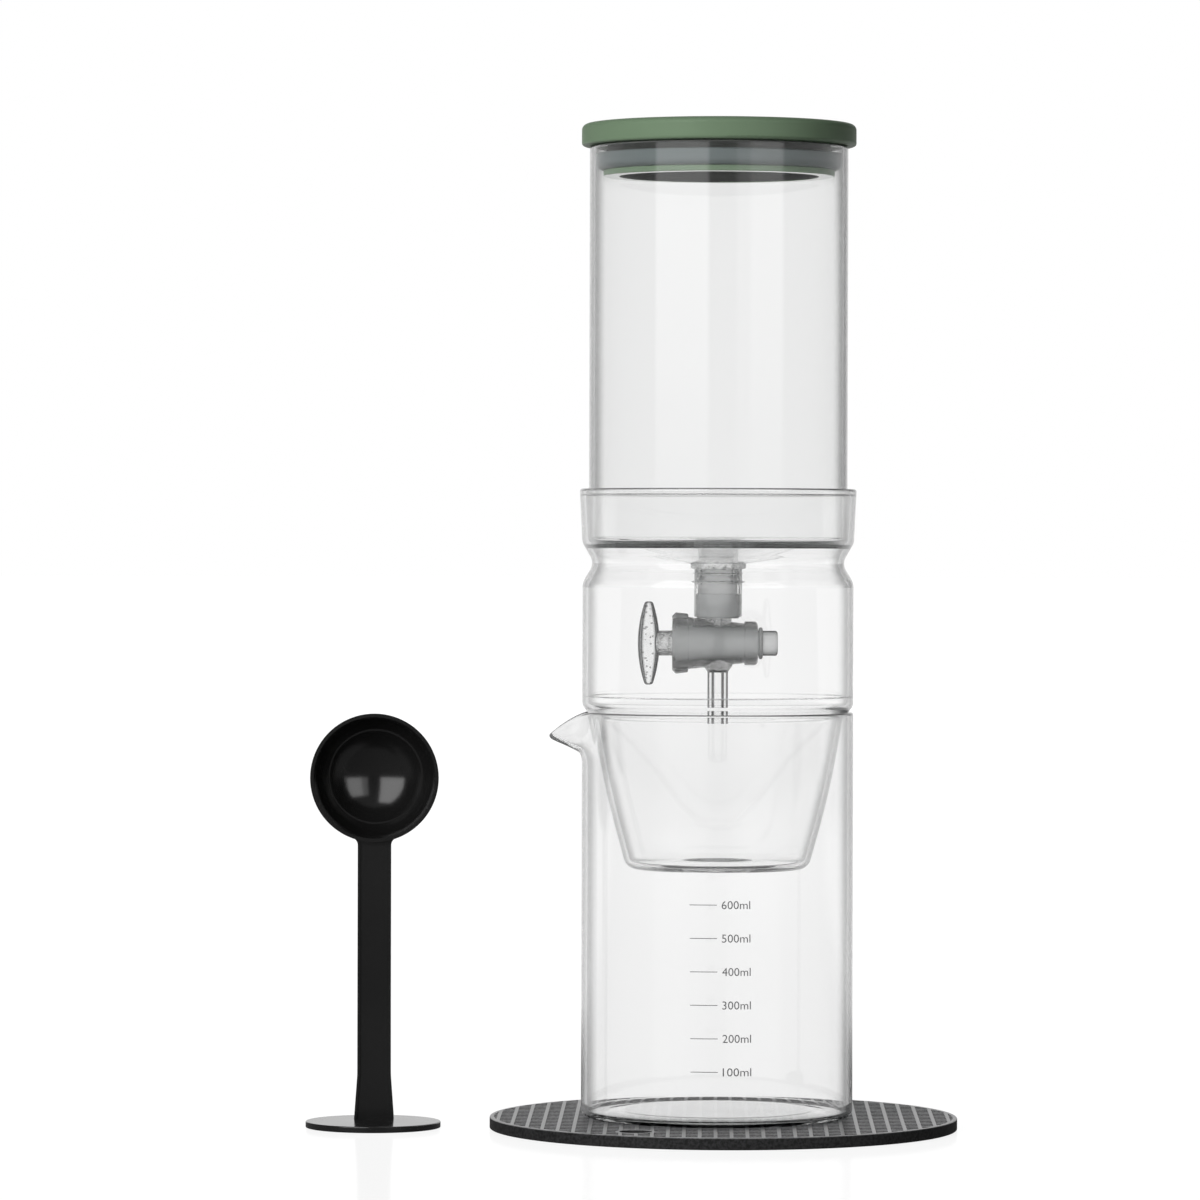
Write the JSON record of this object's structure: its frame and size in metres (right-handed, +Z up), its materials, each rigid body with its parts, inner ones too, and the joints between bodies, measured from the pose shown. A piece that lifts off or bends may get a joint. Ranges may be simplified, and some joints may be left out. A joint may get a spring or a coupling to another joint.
{
  "type": "cold drip coffee maker",
  "caption": "Glass cold drip tower: lidded ice jar with a ground glass stopcock over a waisted brew chamber in a spouted carafe on a coaster, with a scoop and tamper.",
  "frame": {"origin": "on the tower's axis, at the underside of the coaster", "axes": "+Z up along the tower's axis; -X towards the carafe's spout, the stopcock's grip and the scoop; -Y is the front"},
  "size_m": [0.2509, 0.18, 0.3863],
  "materials": {
    "coaster_rubber": "matte, with a raised square grid",
    "clear_glass": "clear, fire-polished rims",
    "frosted_glass": "ground, frosted",
    "key_glass": "clear grip with fine bubbles, ground plug",
    "ring_rubber": "smooth, translucent grey",
    "lid_plastic": "matte, fine grain",
    "gasket_silicone": "satin silicone",
    "scoop_plastic": "glossy black, moulded"
  },
  "bodies": {
    "coaster": {"coaster": "coaster_rubber"},
    "carafe": {"carafe": "clear_glass"},
    "brew_chamber": {"brew_chamber": "clear_glass"},
    "ice_jar": {"ice_jar": "clear_glass"},
    "lid": {"lid_cap": "lid_plastic", "lid_plug": "lid_plastic", "lid_gasket": "gasket_silicone"},
    "valve": {"valve_body": "frosted_glass"},
    "valve_key": {"valve_key": "key_glass", "valve_retaining_ring": "ring_rubber"},
    "scoop": {"scoop": "scoop_plastic"}
  },
  "joints": [
    {"name": "carafe_lift", "type": "slide", "parent": "coaster", "child": "carafe", "axis": [0, 0, 1], "range_m": [0, 0.1]},
    {"name": "chamber_lift", "type": "slide", "parent": "carafe", "child": "brew_chamber", "axis": [0, 0, 1], "range_m": [0, 0.075]},
    {"name": "jar_lift", "type": "slide", "parent": "brew_chamber", "child": "ice_jar", "axis": [0, 0, 1], "range_m": [0, 0.1]},
    {"name": "lid_lift", "type": "slide", "parent": "ice_jar", "child": "lid", "axis": [0, 0, 1], "range_m": [0, 0.03]},
    {"name": "valve_pull", "type": "slide", "parent": "ice_jar", "child": "valve", "axis": [0, 0, -1], "range_m": [0, 0.02]},
    {"name": "valve_turn", "type": "hinge", "parent": "valve", "child": "valve_key", "pos_m": [0, 0, 0.1868], "axis": [1, 0, 0], "continuous": true},
    {"name": "scoop_lift", "type": "slide", "parent": "coaster", "child": "scoop", "axis": [0, 0, 1], "range_m": [0, 0.1]}
  ]
}
